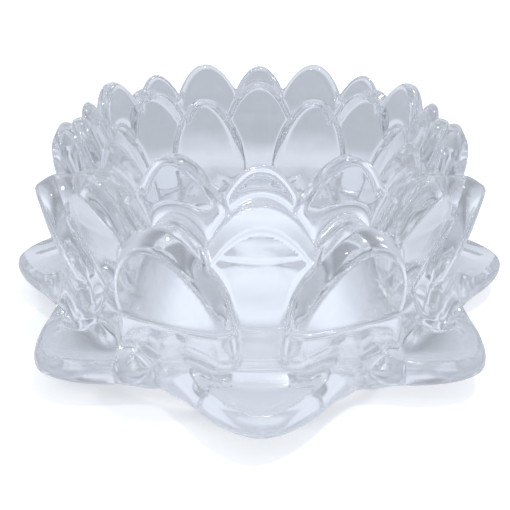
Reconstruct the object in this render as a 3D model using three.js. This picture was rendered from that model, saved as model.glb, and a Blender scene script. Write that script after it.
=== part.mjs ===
// Clear pressed-glass lotus candle holder: a round cup for one tealight, with five
// staggered rows of petals standing round it. The rows are, from the table upwards,
// base petals that spread flat, outer petals, middle petals, inner petals and the
// narrow crown petals that show between the inner ones.
// Millimetres, +Z up, origin on the table under the cup's centre. The front is -Y.
import * as THREE from "three";

// Driving dimensions
const PETALS_PER_ROW = 8;
const BOND_GAP = 0.3; // clear bond line between neighbouring pieces

// Candle cup
const FLOOR_TOP = 7.5; // height of the floor that the candle stands on
const FLOOR_RADIUS = 29.5; // where the line of the inner wall meets the floor
const FLOOR_FILLET = 4;
const MOUTH_RADIUS = 34.4; // inside, at the mouth's height
const MOUTH_HEIGHT = 38.5; // bottom of the notches between the rim's lobes
const WALL = 3.6;
const CUP_RIM = 22; // top of the cup itself, where the rim's petals stand
const FOOT_RADIUS = 30; // outer edge of the ring that rests on the table
const FOOT_WIDTH = 8;
const FOOT_RECESS = 1.2; // depth of the hollow inside that ring
const LEDGE_WIDTH = 4; // ledge round the wall that carries the middle petals
const LEDGE_HEIGHT = 9.2;

// Crown and inner petals, side by side round the rim
const CROWN_HALF_ANGLE = 10.2; // degrees; the inner petals take the rest of the circle
const CROWN_TIP = 43.9;
const CROWN_CURVE = 0.145; // fall of a lobe's edge over the square of its half width
const INNER_TIP = 44.9;
const INNER_CURVE = 0.115;

// Middle petals, in line with the base petals
const MIDDLE_TIP = 39.5;
const MIDDLE_CURVE = 0.1;
const MIDDLE_ROOT_DEPTH = 3.9; // thickness outside the wall at the root
const MIDDLE_RIDGE_DEPTH = 7.45; // and at the ridge across the face
const MIDDLE_RIDGE = 30.6; // height of that ridge
const MIDDLE_LEAN = 0.24; // how fast the face comes back towards the wall above the ridge
const BAND_DROP = 3.5; // height of the flat band between the face and the tip
const BAND_INSET = 2.4; // and how far it leads back
const MIDDLE_BULGE = 0.007; // how the face falls back over the square of the half width

// Outer petals, between the base petals
const OUTER_TIP = 34.2; // tip of the back, above the face's own tip
const OUTER_CURVE = 0.08;
const OUTER_HALF_WIDTH = 13;
const OUTER_FACE_TIP = 32;
const OUTER_FACE_CURVE = 0.122;
const OUTER_FACE_HALF_WIDTH = 10.8;
const OUTER_ROOT_STEP = 4.4; // how far they stand out from the middle petals at the root
const OUTER_RIDGE_STEP = 4.8; // and at the ridge across their own face
const OUTER_RIDGE = 21;
const OUTER_FOOT = 15.8; // height below which the face stands upright on the base petals
const OUTER_LEAN = 0.12; // how fast the face leads outwards above that ridge
const OUTER_BACK_START = 28; // height above which the back stands free and upright
const OUTER_BACK_INSET = 0.2; // how far that back stands inside the middle petals' faces
const OUTER_EDGE = 0.85; // share of the thickness that the sloping edge band takes away
const OUTER_GAP = 0.5; // bond behind and under them, on curved faces
const OUTER_BACK_REACH = 1.8; // heights above and below that this bond also keeps clear of

// Base petals
const TIP_RADIUS = 57.5;
const NOTCH_RADIUS = 44.4; // bottom of the notches between base petals
const BASE_DIP = 6.2; // lowest height of the spoon-shaped upper face
const BASE_DIP_RADIUS = 47.5;
const BASE_RIM_RISE = 2.2; // raised edge round that spoon
const BASE_UNDERSIDE = 2.7; // height of the lower face at the root
const BASE_TIP_UNDERSIDE = 4.7; // and at the tip
const BASE_TIP_THICKNESS = 3.2;

// Counts of facets
const CUP_SEGMENTS = 48;
const FILLET_STEPS = 4;
const WIDE_STATIONS = [-1, -0.84, -0.44, 0, 0.44, 0.84, 1];
const FINE_STATIONS = [-1, -0.86, -0.65, -0.4, 0, 0.4, 0.65, 0.86, 1];
const NARROW_STATIONS = [-1, -0.6, 0, 0.6, 1];

const HALF_SECTOR = 180 / PETALS_PER_ROW;
const INNER_HALF_ANGLE = HALF_SECTOR - CROWN_HALF_ANGLE;
const FULL_TURN = 360;
const { degToRad, radToDeg, lerp, smoothstep } = THREE.MathUtils;

const glass = new THREE.MeshStandardMaterial({
  color: 0xe3e9f2,
  roughness: 0.04,
  metalness: 0,
  transparent: true,
  opacity: 0.35,
});

// A point at a radius, an angle in degrees from the front, and a height.
function polar(radius, angle, height) {
  const turn = degToRad(angle);
  return new THREE.Vector3(radius * Math.sin(turn), -radius * Math.cos(turn), height);
}

// The angle in degrees that leaves half a bond gap at this radius.
const gapAngle = (radius) => radToDeg(Math.asin(BOND_GAP / 2 / radius));

// A rounded edge: full thickness over most of a petal, less at its two edges.
const edgeShare = (u, least) => least + (1 - least) * Math.sqrt(1 - u ** 4);

// A quarter ellipse: 1 at the start, 0 at the end.
function quarterRound(value, start, end) {
  const t = THREE.MathUtils.clamp((value - start) / (end - start), 0, 1);
  return Math.sqrt(1 - t * t);
}

// Heights from the bottom to just under the tip, closer together where the tip rounds over.
function heights(bottom, tip, steps) {
  return Array.from({ length: steps + 1 }, (_, k) => {
    const t = k / steps;
    return lerp(bottom, tip, 1 - (1 - t) ** 1.7 * (1 - TIP_SLICE) - TIP_SLICE);
  });
}
const TIP_SLICE = 0.006; // share of a petal's height that its blunt tip leaves off

// One ring of a petal: along its outer side, then back along its inner side.
const ring = (stations, outer, inner) => [
  ...stations.map(outer),
  ...stations.toReversed().map(inner),
];

// A closed solid through rings of equal length, with a strip of faces over each end.
function loft(rings) {
  const count = rings[0].length;
  const last = (rings.length - 1) * count;
  const faces = [];
  for (let k = 0; k < last; k += count) {
    for (let i = 0; i < count; i++) {
      const next = (i + 1) % count;
      faces.push(k + i, k + next, k + count + next);
      faces.push(k + i, k + count + next, k + count + i);
    }
  }
  for (let i = 0; i < count / 2 - 1; i++) {
    const back = count - 1 - i;
    faces.push(i, back, back - 1, i, back - 1, i + 1);
    faces.push(last + i, last + back - 1, last + back, last + i, last + i + 1, last + back - 1);
  }
  return new THREE.BufferGeometry().setFromPoints(rings.flat()).setIndex(faces);
}

// The inner wall's radius at a height: a straight taper from the floor to the mouth.
const wallInside = (z) =>
  lerp(FLOOR_RADIUS, MOUTH_RADIUS, (z - FLOOR_TOP) / (MOUTH_HEIGHT - FLOOR_TOP));
const wallOutside = (z) => wallInside(z) + WALL;

const LEDGE_RADIUS = wallOutside(LEDGE_HEIGHT) + LEDGE_WIDTH;
const BASE_ROOT = LEDGE_RADIUS + BOND_GAP;

// Lower face of the base petals: up from the foot ring to their roots, then nearly level
// and rising towards the tips.
function underside(r) {
  if (r < BASE_ROOT) return lerp(0, BASE_UNDERSIDE, (r - FOOT_RADIUS) / (BASE_ROOT - FOOT_RADIUS));
  const out = (r - BASE_ROOT) / (TIP_RADIUS - BASE_ROOT);
  return lerp(BASE_UNDERSIDE, BASE_TIP_UNDERSIDE, out ** 2);
}

// Upper face of the base petals: level with the ledge at the root, then a spoon whose
// edges and tip rise. The angle is measured from the middle of the petal.
function baseTop(r, angle) {
  const fall = smoothstep(r, BASE_ROOT, BASE_DIP_RADIUS);
  const rise = smoothstep(r, BASE_DIP_RADIUS, TIP_RADIUS - BASE_TIP_THICKNESS);
  const across = Math.min(Math.abs(angle) / baseHalfAngle(r), 1) ** 2;
  const spoon = lerp(LEDGE_HEIGHT, BASE_DIP, fall);
  return spoon + BASE_RIM_RISE * Math.max(rise, across * fall * 0.8);
}

// Half the angle that a base petal covers: a full sector up to the notches, then a
// rounded point.
function baseHalfAngle(r) {
  const full = HALF_SECTOR - gapAngle(r);
  if (r <= NOTCH_RADIUS) return full;
  const left = (TIP_RADIUS - r) / (TIP_RADIUS - NOTCH_RADIUS);
  const halfWidth = NOTCH_RADIUS * Math.sin(degToRad(full)) * left ** 0.6;
  return radToDeg(Math.asin(halfWidth / r));
}

// Half the width of an arch at a height: its edge falls with the square of that width.
const archWidth = (z, tip, curve) => Math.sqrt(Math.max(tip - z, 0) / curve);

// Face of the middle petals outside the wall: out to the ridge, then back towards the tip.
const middleInside = (z) => wallOutside(z) + BOND_GAP;
function middleFace(z) {
  const along = (z - LEDGE_HEIGHT) / (MIDDLE_RIDGE - LEDGE_HEIGHT);
  const out = lerp(MIDDLE_ROOT_DEPTH, MIDDLE_RIDGE_DEPTH, Math.min(along, 1));
  return middleInside(z) + out - MIDDLE_LEAN * Math.max(z - MIDDLE_RIDGE, 0);
}

// Radius at which the arch's width is measured
const MIDDLE_ARC = middleFace(MIDDLE_RIDGE) - BAND_INSET * 1.5;
function middleHalfAngle(z) {
  const arch = radToDeg(archWidth(z, MIDDLE_TIP, MIDDLE_CURVE) / MIDDLE_ARC);
  return Math.min(arch, HALF_SECTOR - gapAngle(wallOutside(z)));
}

// Radius of a middle petal at a height and a half width: its face, less the band at its edge.
function middleOutside(z, width) {
  const under = MIDDLE_TIP - z - MIDDLE_CURVE * width ** 2;
  const band = THREE.MathUtils.clamp(1 - under / BAND_DROP, 0, 1);
  return middleFace(z) - MIDDLE_BULGE * width ** 2 - BAND_INSET * band;
}

// Face of the outer petals: an upright foot, out to a ridge low down, then nearly upright.
function outerFace(z) {
  const low = THREE.MathUtils.clamp(z, OUTER_FOOT, OUTER_RIDGE);
  const along = (low - LEDGE_HEIGHT) / (OUTER_RIDGE - LEDGE_HEIGHT);
  const step = lerp(OUTER_ROOT_STEP, OUTER_RIDGE_STEP, along);
  return middleFace(low) + step + OUTER_LEAN * Math.max(z - OUTER_RIDGE, 0);
}

const OUTER_BACK = middleFace(OUTER_BACK_START) - OUTER_BACK_INSET;
const OUTER_ARC = OUTER_BACK + BOND_GAP;
const outerHalfAngle = (z) =>
  radToDeg(Math.min(archWidth(z, OUTER_TIP, OUTER_CURVE), OUTER_HALF_WIDTH) / OUTER_ARC);

// How far the sloping edge band has led back from the face, 0 on the face and 1 at the back.
function outerBand(z, width) {
  const rise = OUTER_TIP - OUTER_FACE_TIP + (OUTER_FACE_CURVE - OUTER_CURVE) * width ** 2;
  const top = (z - OUTER_FACE_TIP + OUTER_FACE_CURVE * width ** 2) / rise;
  const side = (width - OUTER_FACE_HALF_WIDTH) / (OUTER_HALF_WIDTH - OUTER_FACE_HALF_WIDTH);
  return THREE.MathUtils.clamp(Math.max(top, side), 0, 1) * OUTER_EDGE;
}

// Back of the outer petals: on the middle petals' faces low down, and free higher up.
// The angle is from the middle of the outer petal.
function outerBack(z, angle) {
  const across = degToRad(HALF_SECTOR - Math.abs(angle)) * MIDDLE_ARC;
  if (z < OUTER_BACK_START) return middleFace(z) - MIDDLE_BULGE * across ** 2 + OUTER_GAP;
  const levels = [z - OUTER_BACK_REACH, z, z + OUTER_BACK_REACH];
  const reach = levels.map((level) => middleReach(level, across) + OUTER_GAP);
  return Math.max(OUTER_BACK, ...reach);
}

// How far out a middle petal reaches at a height and a half width.
const middleReach = (z, width) =>
  MIDDLE_TIP - z < MIDDLE_CURVE * width ** 2 ? 0 : middleOutside(z, width);

// The cup: foot ring, floor, wall and the ledge that the petals stand on, turned in one.
function candleCup() {
  const wallSlope = Math.atan2(MOUTH_RADIUS - FLOOR_RADIUS, MOUTH_HEIGHT - FLOOR_TOP);
  const filletCentreHeight = FLOOR_TOP + FLOOR_FILLET;
  const filletCentre = wallInside(filletCentreHeight) - FLOOR_FILLET / Math.cos(wallSlope);
  const fillet = Array.from({ length: FILLET_STEPS + 1 }, (_, k) => {
    const turn = lerp(-wallSlope, -Math.PI / 2, k / FILLET_STEPS);
    return new THREE.Vector2(
      filletCentre + FLOOR_FILLET * Math.cos(turn),
      filletCentreHeight + FLOOR_FILLET * Math.sin(turn),
    );
  });
  const footInside = FOOT_RADIUS - FOOT_WIDTH;
  const profile = [
    new THREE.Vector2(0, FOOT_RECESS),
    new THREE.Vector2(footInside - FOOT_RECESS, FOOT_RECESS),
    new THREE.Vector2(footInside, 0),
    new THREE.Vector2(FOOT_RADIUS, 0),
    new THREE.Vector2(LEDGE_RADIUS, underside(LEDGE_RADIUS)),
    new THREE.Vector2(LEDGE_RADIUS, LEDGE_HEIGHT),
    new THREE.Vector2(wallOutside(LEDGE_HEIGHT), LEDGE_HEIGHT),
    new THREE.Vector2(wallOutside(CUP_RIM), CUP_RIM),
    new THREE.Vector2(wallInside(CUP_RIM), CUP_RIM),
    ...fillet,
    new THREE.Vector2(0, FLOOR_TOP),
  ];
  return new THREE.LatheGeometry(profile, CUP_SEGMENTS).rotateX(Math.PI / 2);
}

// A petal of the rim, which carries the wall on upwards from the cup into a round lobe.
function rimPetal(halfAngle, tip, curve) {
  const rings = heights(CUP_RIM + BOND_GAP, tip, 8).map((z) => {
    const side = halfAngle - gapAngle(wallInside(z));
    const lobe = radToDeg(archWidth(z, tip, curve) / (MOUTH_RADIUS + WALL / 2));
    const spread = Math.min(side, lobe);
    const middle = wallInside(z) + WALL / 2;
    const edge = lobe < side ? 0.5 : 1;
    const blunt = lerp(0.3, 1, quarterRound(z, tip - WALL, tip));
    const half = (u) => (WALL / 2) * edgeShare(u, edge) * blunt;
    return ring(
      NARROW_STATIONS,
      (u) => polar(middle + half(u), u * spread, z),
      (u) => polar(middle - half(u), u * spread, z),
    );
  });
  return loft(rings);
}

function middlePetal() {
  const rings = heights(LEDGE_HEIGHT + BOND_GAP, MIDDLE_TIP, 10).map((z) => {
    const spread = middleHalfAngle(z);
    const width = (u) => degToRad(u * spread) * MIDDLE_ARC;
    return ring(
      FINE_STATIONS,
      (u) => polar(middleOutside(z, width(u)), u * spread, z),
      (u) => polar(middleInside(z), u * spread, z),
    );
  });
  return loft(rings);
}

function outerPetal() {
  const bottom = LEDGE_HEIGHT + BOND_GAP;
  const rings = heights(bottom, OUTER_TIP, 10).map((z, k) => {
    const spread = outerHalfAngle(z);
    const back = (u) => outerBack(z, u * spread);
    const band = (u) => outerBand(z, Math.abs(degToRad(u * spread)) * OUTER_ARC);
    const front = (u) => lerp(outerFace(z), back(u), band(u));
    // The lowest ring follows the base petals' upper face.
    const place = (r, angle) =>
      polar(r, angle, k === 0 ? baseTop(r, HALF_SECTOR - Math.abs(angle)) + OUTER_GAP : z);
    return ring(
      FINE_STATIONS,
      (u) => place(front(u), u * spread),
      (u) => place(back(u), u * spread),
    );
  });
  return loft(rings);
}

function basePetal() {
  const rings = heights(BASE_ROOT, TIP_RADIUS, 10).map((r) => {
    const spread = baseHalfAngle(r);
    const blunt = lerp(0.35, 1, quarterRound(r, TIP_RADIUS - BASE_TIP_THICKNESS, TIP_RADIUS));
    const edge = r > NOTCH_RADIUS ? 0.5 : 1;
    const face = (u, side) => {
      const low = underside(r);
      const high = baseTop(r, u * spread);
      const share = edgeShare(u, edge) * blunt;
      return (low + high) / 2 + (side * (high - low) * share) / 2;
    };
    return ring(
      WIDE_STATIONS,
      (u) => polar(r, u * spread, face(u, -1)),
      (u) => polar(r, u * spread, face(u, 1)),
    );
  });
  return loft(rings);
}

const holder = new THREE.Group();

function addPiece(name, geometry, angle = 0) {
  const mesh = new THREE.Mesh(geometry, glass.clone());
  mesh.name = name;
  mesh.rotation.z = degToRad(angle);
  holder.add(mesh);
}

// A row of equal petals round the cup, the first one at the given angle from the front.
function addRow(name, geometry, firstAngle) {
  for (let k = 0; k < PETALS_PER_ROW; k++) {
    addPiece(`${name}_${k + 1}`, geometry, firstAngle + (k * FULL_TURN) / PETALS_PER_ROW);
  }
}

addPiece("candle_cup", candleCup());
addRow("base_petal", basePetal(), 0);
addRow("outer_petal", outerPetal(), HALF_SECTOR);
addRow("middle_petal", middlePetal(), 0);
addRow("inner_petal", rimPetal(INNER_HALF_ANGLE, INNER_TIP, INNER_CURVE), HALF_SECTOR);
addRow("crown_petal", rimPetal(CROWN_HALF_ANGLE, CROWN_TIP, CROWN_CURVE), 0);

export default holder;
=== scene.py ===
# %% [markdown]
# # A lotus candle holder in clear pressed glass
# The holder is a thick glass cup for one tealight with five staggered rows of eight petals.
# Pressed glass has no sharp inner corner anywhere: each petal flows into the next through a
# soft fillet. Petals made one by one and pushed together would show hard creases, so the
# whole glass is first described as one smooth field, and then cut into its pieces.

# %% Load the imported model
import math

import bpy
import numpy as np
from mathutils import Matrix


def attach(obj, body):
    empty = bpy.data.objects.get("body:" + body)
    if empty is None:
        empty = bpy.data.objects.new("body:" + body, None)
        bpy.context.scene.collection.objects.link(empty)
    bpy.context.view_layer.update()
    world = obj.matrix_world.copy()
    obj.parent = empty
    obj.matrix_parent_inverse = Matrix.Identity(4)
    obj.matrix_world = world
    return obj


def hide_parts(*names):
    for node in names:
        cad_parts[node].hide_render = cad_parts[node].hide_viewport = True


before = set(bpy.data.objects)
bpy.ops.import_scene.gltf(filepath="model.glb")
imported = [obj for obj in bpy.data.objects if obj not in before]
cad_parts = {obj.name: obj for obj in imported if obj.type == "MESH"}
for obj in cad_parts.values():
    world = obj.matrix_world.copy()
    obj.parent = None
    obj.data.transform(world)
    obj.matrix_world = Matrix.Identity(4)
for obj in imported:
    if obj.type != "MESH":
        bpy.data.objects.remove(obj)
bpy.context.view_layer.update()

# %% [markdown]
# ## The camera
# The photograph was taken from close by, about 15 cm away and 28.5 degrees above the table, so
# the front petals look much larger than the back ones. The distance, the height and the focal
# length come from the petal tips and notches, whose places repeat every 45 degrees. A camera
# far away with a longer lens would frame the holder too, but the rows would overlap elsewhere.

# %% Camera at the photograph's place, in metres
LOOK_DOWN, ROLL = math.radians(28.52), math.radians(0.2)
DISTANCE = 0.1499
AIM = np.array([-0.0010, 0.0, 0.00745])
FOCAL_PIXELS, FRAME_PIXELS = 629.8, 510
SENSOR_WIDTH = 36  # millimetres
NEAREST = 0.005


def add_object(name, data):
    """An object at the origin that holds a mesh, a lamp or a camera, linked to the scene."""
    thing = bpy.data.objects.new(name, data)
    bpy.context.scene.collection.objects.link(thing)
    return thing


camera_data = bpy.data.cameras.new("camera")
camera_data.sensor_width = SENSOR_WIDTH
camera_data.lens = SENSOR_WIDTH * FOCAL_PIXELS / FRAME_PIXELS
camera_data.clip_start = NEAREST
camera = add_object("camera", camera_data)
back_off = np.array([0, -math.cos(LOOK_DOWN), math.sin(LOOK_DOWN)]) * DISTANCE
tilt = Matrix.Rotation(math.pi / 2 - LOOK_DOWN, 4, "X") @ Matrix.Rotation(ROLL, 4, "Z")
camera.matrix_world = Matrix.Translation(AIM + back_off) @ tilt
bpy.context.scene.camera = camera
print("camera at", np.round(AIM + back_off, 4), "lens", round(camera_data.lens, 2))

# %% [markdown]
# ## Soft joins
# A field gives every point of space its distance to the glass, below zero inside. Two fields
# join with a plain minimum, which leaves a crease, or with a soft minimum that adds a fillet
# where both are close to zero, as molten glass does in the mould. Rounded edges come the same
# way: a petal's outline and its two faces are joined by a circle of the edge's radius.

# %% Helpers for fields, in millimetres
PETALS = 8  # in each row
HALF_SECTOR = 22.5  # degrees from the middle of one petal to the middle of the next row's


def ramp(value, start, end):
    """0 before start, 1 after end, and 3t^2 - 2t^3 between them."""
    t = np.clip((value - start) / (end - start), 0, 1)
    return t * t * (3 - 2 * t)


def mix(a, b, share):
    """a where share is 0, b where it is 1."""
    return a + (b - a) * share


def soft_min(a, b, fillet):
    """The lower of two fields, less a quarter of the fillet where they are equal."""
    near = np.maximum(fillet - np.abs(a - b), 0) / fillet
    return np.minimum(a, b) - near * near * fillet / 4


def soft_max(a, b, fillet):
    """The higher of two fields, with the edge between them rounded in the same way."""
    return -soft_min(-a, -b, fillet)


def round_edge(outline, face, radius):
    """Inside both fields, with a round edge: the length of the two overshoots, less the radius."""
    a, b = outline + radius, face + radius
    corner = np.hypot(np.maximum(a, 0), np.maximum(b, 0))
    return corner + np.minimum(np.maximum(a, b), 0) - radius


def bevel(outline, face, drop, inset):
    """A flat band: on the face it starts drop below the outline, at the outline it is inset behind."""
    return (inset * outline + drop * face + inset * drop) / np.hypot(drop, inset)


def arch(across, z, tip, curve):
    """Distance past an arch whose edge falls from its tip with the square of the half width."""
    return (z - tip + curve * across**2) / np.hypot(1, 2 * curve * across)


print("where two fields are equal, a fillet of 2 mm adds", -soft_min(0.0, 0.0, 2.0), "mm")

# %% [markdown]
# ## The cup's wall and the lobes of its rim
# The inside of the cup is a plain tapered wall. The rim above it ends in wide and narrow lobes
# side by side, the inner and the crown petals. The inner petals stand in front and overlap the
# crown petals, so their arches can be followed down the wall. A scalloped edge alone would lose
# these arches, so the outside of the wall steps back by a millimetre beside each inner petal.

# %% Wall and rim
FLOOR_TOP, FLOOR_RADIUS, FLOOR_FILLET = 7.5, 29.5, 4.0
MOUTH_RADIUS, MOUTH_HEIGHT, WALL = 34.4, 38.5, 3.6
WALL_BOTTOM, CUP_RIM = 5.0, 22.15  # where the wall starts, and where its petals take over
CROWN_HALF_ANGLE, CROWN_TIP, INNER_TIP = 10.2, 43.9, 44.7
CROWN_CURVE, INNER_CURVE = 0.145, 0.115  # fall of a lobe's edge over the square of its half width
RIM_RADIUS = MOUTH_RADIUS + WALL / 2
RIM_EDGE, RIM_NOTCH = 1.7, 1.2  # rounding of the rim's edge and of the notches between lobes
RECESS, RECESS_EDGE = 1.1, 0.6  # step from the inner petals back to the crown petals


def wall_inside(z):
    """Radius of the inner wall: a straight line from the floor to the mouth."""
    return mix(FLOOR_RADIUS, MOUTH_RADIUS, (z - FLOOR_TOP) / (MOUTH_HEIGHT - FLOOR_TOP))


def wall_outside(z):
    """Radius of the outer wall, one wall thickness further out."""
    return wall_inside(z) + WALL


def rim_field(r, turn, z):
    """Wall between its two radii, cut off by the lobes' outline, with a rounded top edge."""
    arc = np.radians(turn) * RIM_RADIUS
    arc_end = math.radians(HALF_SECTOR) * RIM_RADIUS
    crown = arch(arc, z, CROWN_TIP, CROWN_CURVE)
    inner = arch(arc_end - arc, z, INNER_TIP, INNER_CURVE)
    recess = RECESS * ramp(inner, -RECESS_EDGE, RECESS_EDGE)
    face = np.maximum(wall_inside(z) - r, r - wall_outside(z) + recess)
    lobes = soft_min(crown, inner, RIM_NOTCH)
    return np.maximum(round_edge(lobes, face, RIM_EDGE), WALL_BOTTOM - z)


print("inner wall from", wall_inside(FLOOR_TOP), "to", wall_inside(MOUTH_HEIGHT), "mm radius")

# %% [markdown]
# ## The base petals
# They lie round the cup like saucers: a shallow spoon with a raised, rounded edge that shows as
# a bright band. Towards the cup the spoon rises in a scoop to the feet of the other petals, and
# its underside is nearly level, a little above the table. The cup's foot is a ring with a shallow
# hollow inside. A lathe could turn this plate, but not the petals' outline, so the plate is a
# height over radius and angle, and the outline is a curve of tip distance over half width.

# %% Plate with base petals
FOOT_RADIUS, FOOT_WIDTH, FOOT_RECESS = 30.0, 8.0, 1.2
PLATE_SPLIT, BASE_ROOT = 37.6, 15.0  # radius at which petals start, and how high their scoop rises
TIP_RADIUS, NOTCH_RADIUS, NOTCH_FILLET = 57.35, 44.4, 2.0
TIP_POWER = 5 / 3  # a petal's edge falls back from its tip with the half width to this power
BASE_DIP, BASE_DIP_RADIUS = 6.2, 47.5  # lowest height of the spoon, and its place
BASE_RIM_RISE, RISE_WIDTH, RISE_LIMIT = 2.1, 9.0, 1.2  # the rise from the spoon to its edge
UNDERSIDE, UNDERSIDE_RADIUS, TIP_RISE, BASE_EDGE = 3.0, 40.0, 1.7, 0.9
RIDGE_INSET, RIDGE_DROP, RIDGE_SOFT = 3.0, 2.4, 0.8  # the band outside the ridge: width and fall
NOTCH_HALF_WIDTH = NOTCH_RADIUS * math.sin(math.radians(HALF_SECTOR))


def base_outline(r, turn):
    """Distance past a petal's edge, which falls back from the tip with a power of the half width."""
    half_width = r * np.sin(np.radians(np.abs(turn)))
    share = half_width / NOTCH_HALF_WIDTH
    reach = TIP_RADIUS - NOTCH_RADIUS
    edge = TIP_RADIUS - reach * share**TIP_POWER
    slope = reach * TIP_POWER / NOTCH_HALF_WIDTH * share ** (TIP_POWER - 1)
    return (r - edge) / np.hypot(1, slope)


def plate_underside(r):
    """Height of the underside: hollow, foot ring, a slope up, and a flare with the square of radius."""
    flare = np.maximum(r - UNDERSIDE_RADIUS, 0) / (TIP_RADIUS - UNDERSIDE_RADIUS)
    ring = ramp(r, FOOT_RADIUS - 2 * FOOT_WIDTH, FOOT_RADIUS - FOOT_WIDTH / 2)
    outer = UNDERSIDE * ramp(r, FOOT_RADIUS, UNDERSIDE_RADIUS) + TIP_RISE * flare**2
    return outer + FOOT_RECESS * (1 - ring)


def plate_top(r, outline):
    """Height of the spoon: squares of the way in to the roots and of the way out to the edge."""
    inwards = np.clip((BASE_DIP_RADIUS - r) / (BASE_DIP_RADIUS - PLATE_SPLIT), 0, 1)
    outwards = np.clip((outline + RISE_WIDTH) / (RISE_WIDTH - RIDGE_INSET), 0, RISE_LIMIT)
    return mix(BASE_DIP, BASE_ROOT, inwards**2) + BASE_RIM_RISE * outwards**2


def plate_field(r, turn, z):
    """Between the underside and the spoon with its band, inside the petals' rounded outline."""
    this_petal, next_petal = base_outline(r, turn), base_outline(r, 2 * HALF_SECTOR - turn)
    outline = soft_min(this_petal, next_petal, NOTCH_FILLET)
    above = z - plate_top(r, outline)
    upper = soft_max(above, bevel(outline, above, RIDGE_INSET, RIDGE_DROP), RIDGE_SOFT)
    return round_edge(outline, np.maximum(upper, plate_underside(r) - z), BASE_EDGE)


print("half width of a base petal at its notches", round(NOTCH_HALF_WIDTH, 2), "mm")

# %% [markdown]
# ## The middle petals
# These are thick noses on the wall, in line with the base petals. The face leans out to a ridge,
# and above it ever less, until it is nearly upright at the tip. A flat band runs round its arch.
# A block with a Bevel modifier would show such a band too, but here it widens away from the tip.

# %% Middle petals
PETAL_FOOT, PETAL_BITE = 9.2, 1.5  # height of the faces' feet, and how far petals reach into the wall
MIDDLE_TIP, MIDDLE_CURVE, MIDDLE_BOTTOM = 39.4, 0.1, 6.5
MIDDLE_ROOT, MIDDLE_RIDGE, MIDDLE_RIDGE_HEIGHT = 37.6, 44.0, 30.6
MIDDLE_LEAN, MIDDLE_CURL = 0.165, 0.005  # above its ridge the face leans out less and less
MIDDLE_ROUND, FACE_SOFT, BAND_SOFT = 0.007, 0.5, 0.4  # roundness of the face and of its edges
BAND_DROP, BAND_SPREAD, BAND_INSET = 3.5, 0.02, 2.4  # the flat band between the face and the top
MIDDLE_ARC = 41.0  # radius at which the outline is measured
MIDDLE_BACK, MIDDLE_FALL = 41.5, 0.5  # behind this radius the top falls towards the wall


def middle_face(z):
    """Radius of the face: a line out to the ridge, then a flatter line less a square."""
    slope = (MIDDLE_RIDGE - MIDDLE_ROOT) / (MIDDLE_RIDGE_HEIGHT - PETAL_FOOT)
    out = MIDDLE_ROOT + slope * (z - PETAL_FOOT)
    rise = np.maximum(z - MIDDLE_RIDGE_HEIGHT, 0)
    back = MIDDLE_RIDGE + MIDDLE_LEAN * rise - MIDDLE_CURL * rise**2
    return soft_min(out, back, BAND_SOFT)


def on_wall(body, r, z, bottom):
    """A petal's body, cut off inside the wall and below its bottom."""
    return np.maximum(body, np.maximum(wall_outside(z) - PETAL_BITE - r, bottom - z))


def middle_petal_field(r, turn, z):
    """Below an arch and behind the face, with the edge between them cut off by a flat band."""
    arc = np.radians(turn) * MIDDLE_ARC
    tip = MIDDLE_TIP - MIDDLE_FALL * np.maximum(MIDDLE_BACK - r, 0)
    outline = arch(arc, z, tip, MIDDLE_CURVE)
    face = r - middle_face(z) + MIDDLE_ROUND * arc**2
    drop = (BAND_DROP + BAND_SPREAD * arc**2) / np.hypot(1, 2 * MIDDLE_CURVE * arc)
    block = soft_max(outline, face, FACE_SOFT)
    body = soft_max(block, bevel(outline, face, drop, BAND_INSET), BAND_SOFT)
    return on_wall(body, r, z, MIDDLE_BOTTOM)


print("middle face at its tip", round(float(middle_face(MIDDLE_TIP)), 2), "mm from the axis")

# %% [markdown]
# ## The outer petals
# They stand in front of the gaps between the middle petals: an upright foot, an almond-shaped
# face with a sloping band round it, and behind it a roof that falls back to the wall. The outline
# widens with depth from the face to the back, which makes the band. A loft between two outlines
# would do the same, but the fillet at the foot would then have to be made by hand.

# %% Outer petals
OUTER_ARC, OUTER_BACK, OUTER_EDGE, OUTER_BOTTOM = 44.0, 43.5, 0.7, 4.2
FACE_TIP, FACE_CURVE, FACE_HALF = 31.95, 0.122, 10.8  # outline of the face
BACK_TIP, BACK_CURVE, BACK_HALF = 34.2, 0.08, 13.0  # and of the back, which is wider
BAND_END, BAND_START = 0.6, -0.3  # rounding where the band ends, and how far it runs past the face
OUTER_ROOT, OUTER_RIDGE, OUTER_RIDGE_HEIGHT = 42.0, 46.2, 21.0
OUTER_LEAN, OUTER_ROUND, OUTER_SOFT = 0.12, 0.003, 1.5  # the face above its ridge leans out less
SKIRT_RADIUS, SKIRT_SLOPE, SKIRT_BULGE = 44.9, 0.06, 0.006  # the nearly upright foot of the face
SKIRT_SOFT = 0.5
ROOF_FALL, ROOF_CURVE = 0.2, 0.007  # how the roof falls and narrows towards the wall
ROOF_LENGTH, SIDE_LENGTH, SHOULDER = 1.2, 1.15, 3.5  # slopes' lengths, and the corner between them


def outer_face(arc, z):
    """Radius of the face: out to a ridge, then nearly upright, and never inside the skirt below."""
    slope = (OUTER_RIDGE - OUTER_ROOT) / (OUTER_RIDGE_HEIGHT - PETAL_FOOT)
    out = OUTER_ROOT + slope * (z - PETAL_FOOT)
    up = OUTER_RIDGE + OUTER_LEAN * (z - OUTER_RIDGE_HEIGHT)
    skirt = SKIRT_RADIUS - SKIRT_SLOPE * (z - BASE_DIP) - SKIRT_BULGE * arc**2
    return soft_max(soft_min(out, up, OUTER_SOFT) - OUTER_ROUND * arc**2, skirt, SKIRT_SOFT)


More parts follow.
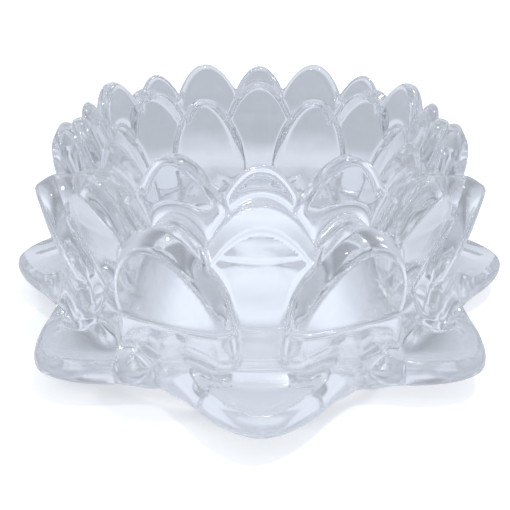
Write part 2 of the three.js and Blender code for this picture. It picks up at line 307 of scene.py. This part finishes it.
def outer_petal_field(r, turn, z):
    """Behind the face and inside an outline that is mixed, by depth, from the face's and the back's."""
    arc = np.radians(HALF_SECTOR - turn) * OUTER_ARC
    face, back = outer_face(arc, z), OUTER_BACK - OUTER_ROUND * arc**2
    depth = soft_min((face - r) / np.maximum(face - back, 1), 1, BAND_END)
    depth = np.maximum(depth, BAND_START)
    behind = np.maximum(back - r, 0)
    tip = mix(FACE_TIP, BACK_TIP, depth) - ROOF_FALL * behind
    curve = mix(FACE_CURVE, BACK_CURVE, depth) + ROOF_CURVE * behind
    top = arch(arc, z, tip, curve) / ROOF_LENGTH
    side = (arc - mix(FACE_HALF, BACK_HALF, depth)) / SIDE_LENGTH
    body = round_edge(soft_max(top, side, SHOULDER), r - face, OUTER_EDGE)
    return on_wall(body, r, z, OUTER_BOTTOM)


print("outer face at its tip", round(float(outer_face(0.0, FACE_TIP)), 2), "mm from the axis")

# %% [markdown]
# ## One glass from all the fields
# The pattern repeats every 45 degrees and is its own mirror image, so each angle is folded into
# half a sector first. The fillet at the feet is wide in front of the outer petals and crisp below
# the middle ones. The cup's hollow is taken out last, which keeps its wall smooth. Next to the
# field itself, every point gets the piece that it belongs to: the one it lies deepest in. A cut
# with Boolean modifiers would need clean solids first, and would leave slivers at the creases.

# %% The whole glass and its pieces
CUP, BASE, OUTER, MIDDLE, INNER, CROWN = range(1, 7)
ROWS = {
    BASE: "base_petal",
    OUTER: "outer_petal",
    MIDDLE: "middle_petal",
    INNER: "inner_petal",
    CROWN: "crown_petal",
}
PETAL_FILLET, WALL_FILLET = 1.5, 3.2
CRISP_FOOT, SOFT_FOOT = 1.2, 6.0  # fillets at the feet of the middle and of the outer petals
CRISP_TURN, SOFT_TURN = 6, 15  # degrees between which one changes into the other


def fold(angle):
    """The angle in degrees from the nearest base petal's middle, 0 to 22.5."""
    return np.abs((angle + HALF_SECTOR) % (2 * HALF_SECTOR) - HALF_SECTOR)


def petal_fields(r, turn, z):
    """The four families of fields: plate, rim, middle petals and outer petals."""
    this_petal = middle_petal_field(r, turn, z)
    next_petal = middle_petal_field(r, 2 * HALF_SECTOR - turn, z)
    middle = soft_min(this_petal, next_petal, PETAL_FILLET)
    return plate_field(r, turn, z), rim_field(r, turn, z), middle, outer_petal_field(r, turn, z)


def glass_field(r, angle, z):
    """Soft minimum of all petals, less the cup's hollow with its rounded floor."""
    turn = fold(angle)
    plate, rim, middle, outer = petal_fields(r, turn, z)
    foot = mix(CRISP_FOOT, SOFT_FOOT, ramp(turn, CRISP_TURN, SOFT_TURN))
    petals = soft_min(middle, soft_min(outer, plate, foot), PETAL_FILLET)
    solid = soft_min(rim, petals, WALL_FILLET)
    hollow = round_edge(r - wall_inside(z), FLOOR_TOP - z, FLOOR_FILLET)
    return np.maximum(solid, -hollow)


def piece_of(r, angle, z):
    """The row that each point lies deepest in, and the number of its petal, counted from the front."""
    turn = fold(angle)
    family = np.argmin(np.stack(petal_fields(r, turn, z)), axis=0)
    plate_row = np.where(r < PLATE_SPLIT, CUP, BASE)
    rim_row = np.where(z < CUP_RIM, CUP, np.where(turn < CROWN_HALF_ANGLE, CROWN, INNER))
    row = np.choose(family, [plate_row, rim_row, MIDDLE, OUTER])
    straight = np.floor(angle / (2 * HALF_SECTOR) + 0.5)
    between = np.floor(angle / (2 * HALF_SECTOR))
    number = np.where((row == OUTER) | (row == INNER), between, straight)
    return row, np.where(row == CUP, 0, number)


print("pieces:", 1 + PETALS * len(ROWS))

# %% [markdown]
# ## From the field to faces
# The field is sampled on a grid of radius, angle and height. Where two neighbouring samples
# belong to different pieces, or one to none, a face goes between them, and each grid cell that
# such faces meet in gets one point. Neighbouring pieces share these points, so they fit each
# other exactly. Then the points on the outside slide along the field's slope to its zero. A
# Remesh modifier makes faces in much the same way, but it can't keep the pieces apart.

# %% Sample grid
STEP, SECTOR_CELLS = 0.48, 68
COARSE_STEP, FINE_RADIUS = 2.5, 20  # the plain floor near the axis needs few samples
LOWEST, TOP_MARGIN, TIP_MARGIN = -1.0, 1.2, 1.5
OFF_ANGLE, OFF_HEIGHT = 0.011, 0.013  # keep the samples off the planes between two pieces
LABEL_SHIFT = 3  # petals to the left of the front one have numbers below zero


def label_of(row, number=0):
    """One whole number for a row and a petal's number in it."""
    return row * PETALS + number + LABEL_SHIFT


steps = np.arange(2 * SECTOR_CELLS + 3) - SECTOR_CELLS - 1
coarse = np.arange(0, FINE_RADIUS, COARSE_STEP)
radii = np.concatenate([coarse, np.arange(FINE_RADIUS, TIP_RADIUS + TIP_MARGIN, STEP)])
angles = steps * 2 * HALF_SECTOR / SECTOR_CELLS + OFF_ANGLE
heights = np.arange(LOWEST, INNER_TIP + TOP_MARGIN, STEP) + OFF_HEIGHT
grid = np.meshgrid(radii, angles, heights, indexing="ij")
field = glass_field(*grid)
row, number = piece_of(*grid)
label = np.where(field < 0, label_of(row, number.astype(int)), 0)
print("samples", field.size, "inside", int((field < 0).sum()))

# %% One point for each cell that faces meet in
AROUND = ((0, 0), (1, 0), (1, 1), (0, 1))  # the four cells round a step from sample to sample
NEAREST_CUT = 0.02  # a cut keeps this share of a step away from its ends


def neighbours(axis, others):
    """Index of the samples before, and of those after, each step along one axis."""
    low, high = [others] * 3, [others] * 3
    low[axis], high[axis] = slice(0, -1), slice(1, None)
    return tuple(low), tuple(high)


cell_shape = tuple(n - 1 for n in label.shape)
point_sum = np.zeros((3, *cell_shape))
point_count = np.zeros(cell_shape)
open_cell = np.zeros(cell_shape, bool)
for axis in range(3):
    low, high = neighbours(axis, slice(None))
    changes = label[low] != label[high]
    outside = changes & ((label[low] == 0) | (label[high] == 0))
    drop = np.where(outside, field[low] - field[high], 1)
    cut = np.clip(field[low] / np.where(drop == 0, 1, drop), NEAREST_CUT, 1 - NEAREST_CUT)
    place = [g[low] for g in grid]
    place[axis] = place[axis] + np.where(outside, cut, 0.5) * (grid[axis][high] - grid[axis][low])
    others = [a for a in range(3) if a != axis]
    for shifts in AROUND:
        part = [slice(None)] * 3
        for other, shift in zip(others, shifts):
            part[other] = slice(shift, shift + cell_shape[other])
        part = tuple(part)
        point_count += changes[part]
        open_cell |= outside[part]
        for c in range(3):
            point_sum[c] += np.where(changes[part], place[c][part], 0)
print("cells with a point", int((point_count > 0).sum()))

# %% Keep one sector's points
first = SECTOR_CELLS + 1  # angle cell that starts at 0 degrees
sector = np.zeros(cell_shape, bool)
sector[:, first:first + SECTOR_CELLS, :] = True
kept = (point_count > 0) & sector
kept_id = np.full(cell_shape, -1)
kept_id[kept] = np.arange(kept.sum())
points = np.stack([point_sum[c][kept] / point_count[kept] for c in range(3)])
outer_point = open_cell[kept]
print("points in a sector", points.shape[1], "on the outside", int(outer_point.sum()))

# %% Slide the outside points onto the glass
PROBE, AXIS_GUARD = 0.02, 0.5  # millimetres
SLIDES, LONGEST_PUSH, FLATTEST = 4, 0.3, 0.05


def slope_of(r, angle, z):
    """The field's slope towards larger radius, angle and height, per millimetre."""
    swing = np.degrees(PROBE / np.maximum(r, AXIS_GUARD))
    along_r = glass_field(r + PROBE, angle, z) - glass_field(r - PROBE, angle, z)
    along_angle = glass_field(r, angle + swing, z) - glass_field(r, angle - swing, z)
    along_z = glass_field(r, angle, z + PROBE) - glass_field(r, angle, z - PROBE)
    return np.stack([along_r, along_angle, along_z]) / (2 * PROBE)


r, angle, z = (p[outer_point] for p in points)
for _ in range(SLIDES):
    slope = slope_of(r, angle, z)
    push = glass_field(r, angle, z) / np.maximum((slope**2).sum(0), FLATTEST)
    push = np.clip(push, -LONGEST_PUSH, LONGEST_PUSH)
    r = r - push * slope[0]
    angle = angle - np.degrees(push * slope[1] / np.maximum(r, AXIS_GUARD))
    z = z - push * slope[2]
points[:, outer_point] = r, angle, z
points[2] = np.maximum(points[2], 0)  # nothing reaches below the table
normals = np.zeros_like(points)
slope = slope_of(r, angle, z)
normals[:, outer_point] = slope / np.maximum(np.sqrt((slope**2).sum(0)), 1e-9)
farthest = float(np.abs(glass_field(r, angle, z)).max())
print("farthest point from the glass", round(farthest, 4), "mm")

# %% Faces between the cells
corner_cells, low_labels, high_labels, face_angles = [], [], [], []
for axis in range(3):
    b, c = (axis + 1) % 3, (axis + 2) % 3
    low, high = neighbours(axis, slice(1, -1))
    where = np.argwhere(label[low] != label[high])
    low_labels.append(label[low][tuple(where.T)])
    high_labels.append(label[high][tuple(where.T)])
    face_angles.append(where[:, 1] + (0 if axis == 1 else 1))
    corners = np.stack([where] * 4, axis=1)
    corners[:, :, b] += [step for step, _ in AROUND]
    corners[:, :, c] += [step for _, step in AROUND]
    corner_cells.append(corners)
corner_cells = np.concatenate(corner_cells)
low_labels, high_labels = np.concatenate(low_labels), np.concatenate(high_labels)
face_angles = np.concatenate(face_angles)
on_joint = (low_labels > 0) & (high_labels > 0)
print("faces in two sectors", len(corner_cells), "on joints", int(on_joint.sum()))

# %% Collect a piece's faces and place its points
KEY_SPAN, KEY_ZERO = 64, 16  # a key holds a point and the sectors it is turned by, from -16 to 47


def corner_ids(cells):
    """Each corner as a point of the kept sector and the number of sectors it is turned by."""
    offset = cells[..., 1] - first
    turned = np.floor_divide(offset, SECTOR_CELLS)
    return kept_id[cells[..., 0], offset - turned * SECTOR_CELLS + first, cells[..., 2]], turned


def faces_of(code, among=True):
    """Corner cells of one piece's faces, wound to point outwards, and which of them are joints."""
    below = (low_labels == code) & among
    above = (high_labels == code) & among
    cells = np.concatenate([corner_cells[below], corner_cells[above][:, ::-1]])
    joint = np.concatenate([high_labels[below] > 0, low_labels[above] > 0])
    return cells, joint


def key_of(ids, turned):
    """One whole number for a point and its turn."""
    return ids * KEY_SPAN + turned + KEY_ZERO


def weld(ids, turned):
    """The distinct corners of some faces as sorted keys, and the faces as numbers of these keys."""
    keys, index = np.unique(key_of(ids, turned), return_inverse=True)
    return keys, index.reshape(ids.shape)


def cartesian(keys, extra_turn=0):
    """Points in metres and outward directions: radius and angle from the front give x and y."""
    ids, turned = keys // KEY_SPAN, keys % KEY_SPAN - KEY_ZERO + extra_turn
    r, angle, z = points[:, ids]
    theta = np.radians(angle + turned * 2 * HALF_SECTOR)
    sin, cos = np.sin(theta), np.cos(theta)
    out_r, out_angle, out_z = normals[:, ids]
    place = np.stack([r * sin, -r * cos, z], axis=-1) / 1000
    direction = [out_r * sin + out_angle * cos, -out_r * cos + out_angle * sin, out_z]
    return place, np.stack(direction, axis=-1)


print("faces of a base petal", len(faces_of(label_of(BASE))[0]))

# %% [markdown]
# ## Clear glass
# Clear glass is a Principled shader with full transmission. Pressed glass is never quite even:
# a fine noise makes it slightly wavy and changes its polish, and the foot is a little duller. A
# Glass shader would be simpler, but lamps would cast a black shadow through either of them. So
# shadow and diffuse rays go straight through, dimmed a little, as light gets through the real
# thing. The joints between pieces lie inside the glass, where light goes straight on.

# %% Helpers for materials
def new_material(name):
    """A material with an empty node tree."""
    material = bpy.data.materials.new(name)
    material.use_nodes = True
    material.node_tree.nodes.clear()
    return material, material.node_tree


def add_node(tree, kind, inputs=(), **settings):
    """A shader node with its settings; each input is a plain value or another node's output."""
    node = tree.nodes.new("ShaderNode" + kind)
    for name, value in settings.items():
        setattr(node, name, value)
    for socket, value in dict(inputs).items():
        if isinstance(value, bpy.types.NodeSocket):
            tree.links.new(value, node.inputs[socket])
        else:
            node.inputs[socket].default_value = value
    return node


def calculate(tree, operation, *values):
    """The result of a maths node on values or sockets."""
    return add_node(tree, "Math", enumerate(values), operation=operation).outputs[0]


def map_range(tree, value, old, new=(0.0, 1.0), smooth=False):
    """A value carried over from one range to another, and held at its ends."""
    inputs = {"Value": value, "From Min": old[0], "From Max": old[1]}
    inputs.update({"To Min": new[0], "To Max": new[1]})
    kind = "SMOOTHSTEP" if smooth else "LINEAR"
    return add_node(tree, "MapRange", inputs, interpolation_type=kind).outputs[0]


def mix_shaders(tree, share, first, second):
    """The first shader where share is 0, the second where it is 1."""
    inputs = {0: share, 1: first.outputs[0], 2: second.outputs[0]}
    return add_node(tree, "MixShader", inputs).outputs[0]


print("materials before the glass:", len(bpy.data.materials))

# %% Glass and bond
GLASS_COLOUR, GLASS_IOR = (0.965, 0.97, 0.98, 1), 1.5
SHADOW_COLOUR = (0.7, 0.705, 0.715, 1)
WAVES_PER_METRE, WAVE_DEPTH, WAVE_STRENGTH = 130.0, 0.0002, 0.5
NOISE_RANGE, POLISH = (0.3, 0.7), (0.02, 0.05)
DULL_HEIGHT, DULL_FOOT = (0.006, 0.014), (0.06, 0.0)  # metres above the table, and added roughness

glass, tree = new_material("clear_glass")
here = add_node(tree, "TexCoord").outputs["Object"]
noise = {"Vector": here, "Scale": WAVES_PER_METRE, "Detail": 1.0}
waves = add_node(tree, "TexNoise", noise).outputs["Fac"]
height = add_node(tree, "SeparateXYZ", {0: here}).outputs["Z"]
polish = map_range(tree, waves, NOISE_RANGE, POLISH)
dull = map_range(tree, height, DULL_HEIGHT, DULL_FOOT)
relief = {"Height": waves, "Strength": WAVE_STRENGTH, "Distance": WAVE_DEPTH}
body = add_node(tree, "BsdfPrincipled", {
    "Base Color": GLASS_COLOUR,
    "IOR": GLASS_IOR,
    "Transmission Weight": 1.0,
    "Roughness": calculate(tree, "ADD", polish, dull),
    "Normal": add_node(tree, "Bump", relief).outputs["Normal"],
})
clear = add_node(tree, "BsdfTransparent", {"Color": SHADOW_COLOUR})
rays = add_node(tree, "LightPath").outputs
straight = calculate(tree, "MAXIMUM", rays["Is Shadow Ray"], rays["Is Diffuse Ray"])
add_node(tree, "OutputMaterial", {"Surface": mix_shaders(tree, straight, body, clear)})

bond, tree = new_material("clear_bond")
through = add_node(tree, "BsdfTransparent")
add_node(tree, "OutputMaterial", {"Surface": through.outputs[0]})
print("materials", glass.name, "and", bond.name)

# %% [markdown]
# ## The pieces
# The petals of the real holder are most likely pressed in one with the cup. Here each is a closed
# piece with its own name. One petal of each row is worked out and turned eight times about the
# axis. An Array modifier could repeat it, but then eight petals would be one object. The cup goes
# all the way round, so its sector is repeated in one mesh, and a fan closes it at the axis.


# %% Petals of each row, turned round the cup
def make_piece(name, place, direction, faces, joint):
    """A mesh object from arrays, smooth along its directions, with joints in the second material."""
    mesh = bpy.data.meshes.new(name)
    mesh.from_pydata(place.tolist(), [], faces)
    mesh.materials.append(glass)
    mesh.materials.append(bond)
    mesh.polygons.foreach_set("material_index", joint.astype(np.int32))
    mesh.polygons.foreach_set("use_smooth", np.ones(len(mesh.polygons), bool))
    mesh.update()
    lengths = np.linalg.norm(direction, axis=1, keepdims=True)
    safe = np.where(lengths > 0.5, direction, [0.0, 0.0, 1.0])
    mesh.normals_split_custom_set_from_vertices(safe.tolist())
    piece = add_object(name, mesh)
    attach(piece, "root")
    return piece


for code_row, row_name in ROWS.items():
    cells, joint = faces_of(label_of(code_row))
    keys, faces = weld(*corner_ids(cells))
    for k in range(PETALS):
        place, direction = cartesian(keys, k)
        piece = make_piece(f"{row_name}_glass_{k + 1}", place, direction, faces.tolist(), joint)
        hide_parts(f"{row_name}_{k + 1}")
    print(row_name, len(faces), "faces,", int(joint.sum()), "on joints")

# %% The cup, from one sector repeated eight times and closed at its axis
one_sector = (face_angles >= first) & (face_angles < first + SECTOR_CELLS)
cells, joint = faces_of(label_of(CUP), one_sector)
ids, turned = corner_ids(cells)
all_turns = np.concatenate([(turned + k) % PETALS for k in range(PETALS)])
keys, walls = weld(np.concatenate([ids] * PETALS), all_turns)
place, direction = cartesian(keys)
cup_faces = walls.tolist()
column = label[0, first + 1]
for level in np.flatnonzero(column[:-1] != column[1:]):
    upward = column[level] > 0
    ring_ids = kept_id[0, first:first + SECTOR_CELLS, level]
    ring = np.searchsorted(keys, key_of(ring_ids, np.arange(PETALS)[:, None]).ravel())
    pole = np.full(ring.size, len(place))
    fan = np.stack([pole, ring, np.roll(ring, -1)], axis=1)
    cup_faces += (fan if upward else fan[:, [0, 2, 1]]).tolist()
    place = np.vstack([place, [0, 0, points[2, ring_ids[0]] / 1000]])
    direction = np.vstack([direction, [0, 0, 1 if upward else -1]])
fans = np.zeros(len(cup_faces) - len(walls), bool)
joint = np.concatenate([np.tile(joint, PETALS), fans])
cup = make_piece("candle_cup_glass", place, direction, cup_faces, joint)
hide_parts("candle_cup")
print("candle cup", len(cup_faces), "faces,", fans.size, "of them round the axis")

# %% [markdown]
# ## Table, light and background
# The photograph shows the glass cut out on white, yet the glass itself is filled with the soft
# grey-blue of the room it stood in. White all round washes the petals out, so the floor is white
# to the camera and keeps the shadow, while light that comes through the glass finds a grey-blue
# table. What a petal shows depends on where its light comes from, so the table carries painted
# light and shade, different in front, at the sides and behind, each a ramp over the distance from
# the axis: a painted pool of light under the cup's hollow and painted shadow rings round the foot.

# %% Floor
FLOOR_HALF, FLOOR_DROP = 2, 0.0003  # metres
floor_mesh = bpy.data.meshes.new("floor")
floor_turns = ((-1, -1), (1, -1), (1, 1), (-1, 1))
floor_corners = [(x * FLOOR_HALF, y * FLOOR_HALF, -FLOOR_DROP) for x, y in floor_turns]
floor_mesh.from_pydata(floor_corners, [], [(0, 1, 2, 3)])
floor = add_object("floor", floor_mesh)
table, tree = new_material("pale_table")
floor_mesh.materials.append(table)
print("floor", 2 * FLOOR_HALF, "m wide")

# %% What the glass sees of the table: painted light and shade
ROOM_TINT = (0.89, 0.95, 1.06)
TABLE_SPAN = 200  # millimetres from the axis to the end of a ramp
# Painted light and shade on the table: a painted pool of light under the cup's hollow, painted shadow
# rings round the foot
FRONT_LIGHT_AND_SHADE = [
    (0, 0.9), (11, 1.1), (17, 0.72), (28, 0.7), (36, 0.78), (41, 0.7),
    (47, 0.76), (60, 0.68), (100, 0.55), (190, 0.5),
]  # millimetres from the axis, and a shade that paints light and shadow on the table
SIDE_LIGHT_AND_SHADE = [
    (0, 0.9), (11, 1.1), (20, 1.1), (25, 0.75), (33, 0.54), (41, 0.36),
    (48, 0.6), (60, 0.8), (80, 0.78), (105, 0.48), (190, 0.42),
]
BACK_LIGHT_AND_SHADE = [
    (0, 0.9), (11, 1.1), (19, 1.05), (24, 0.66), (36, 0.62), (46, 0.8),
    (57, 0.62), (80, 0.8), (108, 0.85), (130, 0.58), (155, 0.56), (190, 0.6),
]
BACK_FROM, SIDE_FROM = (-0.3, 0.3), (0.55, 0.85)  # shares of y and of x in the way from the axis


def shade_ramp(tree, factor, stops):
    """A colour ramp through the stops, each a place and a shade, tinted a little blue."""
    node = add_node(tree, "ValToRGB", {0: factor})
    elements = node.color_ramp.elements
    while len(elements) < len(stops):
        elements.new(0.5)
    for element, (place, shade) in zip(elements, stops):
        element.position = place
        element.color = (*(shade * tint for tint in ROOM_TINT), 1)
    return node.outputs[0]


def mix_colours(tree, share, first, second):
    """The first colour where share is 0, the second where it is 1."""
    return add_node(tree, "Mix", {0: share, 6: first, 7: second}, data_type="RGBA").outputs[2]


here = add_node(tree, "TexCoord").outputs["Object"]
parts = add_node(tree, "SeparateXYZ", {0: here}).outputs
reach = add_node(tree, "VectorMath", {0: here}, operation="LENGTH").outputs["Value"]
along = calculate(tree, "MULTIPLY", reach, 1000 / TABLE_SPAN)
front, side, back = (
    shade_ramp(tree, along, [(mm / TABLE_SPAN, shade) for mm, shade in stops])
    for stops in (FRONT_LIGHT_AND_SHADE, SIDE_LIGHT_AND_SHADE, BACK_LIGHT_AND_SHADE)
)
backwards = calculate(tree, "DIVIDE", parts["Y"], reach)
sideways = calculate(tree, "DIVIDE", calculate(tree, "ABSOLUTE", parts["X"]), reach)
colour = mix_colours(tree, map_range(tree, backwards, BACK_FROM, smooth=True), front, back)
colour = mix_colours(tree, map_range(tree, sideways, SIDE_FROM, smooth=True), colour, side)
# The glass sees this painted light and shade as a table that glows by itself
painted_table_light = add_node(tree, "Emission", {"Color": colour})
print("shades of the table:", len(FRONT_LIGHT_AND_SHADE), "in front,", len(SIDE_LIGHT_AND_SHADE), "beside,", len(BACK_LIGHT_AND_SHADE), "behind")

# %% What the camera sees of the table
TABLE_WHITE = (0.97, 0.97, 0.97, 1)
CAMERA_LIFT = (0.33, 0.325, 0.32, 1)  # brings the lit floor up to white, for the camera alone
rays = add_node(tree, "LightPath").outputs
white = add_node(tree, "BsdfDiffuse", {"Color": TABLE_WHITE})
lift = add_node(tree, "Emission", {"Color": CAMERA_LIFT, "Strength": rays["Is Camera Ray"]})
ground = add_node(tree, "AddShader", {0: white.outputs[0], 1: lift.outputs[0]})
by_glass = calculate(tree, "MAXIMUM", rays["Is Glossy Ray"], rays["Is Transmission Ray"])
add_node(tree, "OutputMaterial", {"Surface": mix_shaders(tree, by_glass, ground, painted_table_light)})
print("table nodes", len(tree.nodes))

# %% [markdown]
# ## The room and the lamps
# The room is darkest low in front and brightest high behind the holder, with a dark card
# at each side that draws the edges of the petals. A plain grey world would light the glass too,
# but would leave it without contrast. Two small lamps add the bright streaks and the shadow.

# %% Room
BRIGHT_WAY, BRIGHT_SHIFT = (0, 0.3, 0.5), 0.35
ROOM = [(0.0, 0.14), (0.25, 0.3), (0.45, 0.52), (0.65, 0.68), (0.85, 0.95), (1.0, 0.9)]
CARD_WAY, CARD_EDGE, CARD_SHADE = (0.6, 0.22, 0.77), (0.88, 0.95), (1.0, 0.45)


def facing(tree, way, vector):
    """How far a direction goes along a way: their dot product."""
    inputs = {0: vector, 1: way}
    return add_node(tree, "VectorMath", inputs, operation="DOT_PRODUCT").outputs["Value"]


world = bpy.data.worlds.new("room")
bpy.context.scene.world = world
world.use_nodes = True
tree = world.node_tree
tree.nodes.clear()
way = add_node(tree, "TexCoord").outputs["Generated"]
bright = calculate(tree, "ADD", facing(tree, BRIGHT_WAY, way), BRIGHT_SHIFT)
parts = add_node(tree, "SeparateXYZ", {0: way}).outputs
either_side = {"X": calculate(tree, "ABSOLUTE", parts["X"]), "Y": parts["Y"], "Z": parts["Z"]}
folded = add_node(tree, "CombineXYZ", either_side).outputs[0]
cards = map_range(tree, facing(tree, CARD_WAY, folded), CARD_EDGE, CARD_SHADE, smooth=True)
dim = add_node(tree, "Background", {"Color": shade_ramp(tree, bright, ROOM), "Strength": cards})
white = add_node(tree, "Background", {"Color": (1, 1, 1, 1)})
by_camera = add_node(tree, "LightPath").outputs["Is Camera Ray"]
add_node(tree, "OutputWorld", {"Surface": mix_shaders(tree, by_camera, dim, white)})
print("room nodes", len(tree.nodes))

# %% Lamps
LAMP_AIM = (0, 0, 0.02)


def soft_lamp(name, place, size, radiance):
    """A square lamp that faces the holder: its power is its brightness times pi times its area."""
    lamp = bpy.data.lights.new(name, "AREA")
    lamp.size = size
    lamp.energy = radiance * math.pi * size * size
    holder = add_object(name, lamp)
    away = np.array(place, float) - np.array(LAMP_AIM, float)
    away /= np.linalg.norm(away)
    right = np.cross([0, 0, 1], away)
    right /= np.linalg.norm(right)
    axes = np.stack([right, np.cross(away, right), away], axis=1)
    holder.matrix_world = Matrix.Translation(place) @ Matrix(axes.tolist()).to_4x4()
    print(name, round(lamp.energy, 2), "W")


soft_lamp("lamp_left", (-0.9, -0.5, 1.3), 0.07, 60.0)
soft_lamp("lamp_right", (0.32, 0.16, 1.6), 0.16, 146.0)

# %% [markdown]
# ## Settings
# Light crosses many faces before it leaves the petals, and a path that is cut short turns black,
# so the limits on bounces are high.

# %% Settings and the end
GLASS_BOUNCES, CLEAR_BOUNCES = 48, 64
scene = bpy.context.scene
scene.view_settings.view_transform = "Standard"
scene.cycles.max_bounces = GLASS_BOUNCES
scene.cycles.glossy_bounces = GLASS_BOUNCES
scene.cycles.transmission_bounces = GLASS_BOUNCES
scene.cycles.transparent_max_bounces = CLEAR_BOUNCES
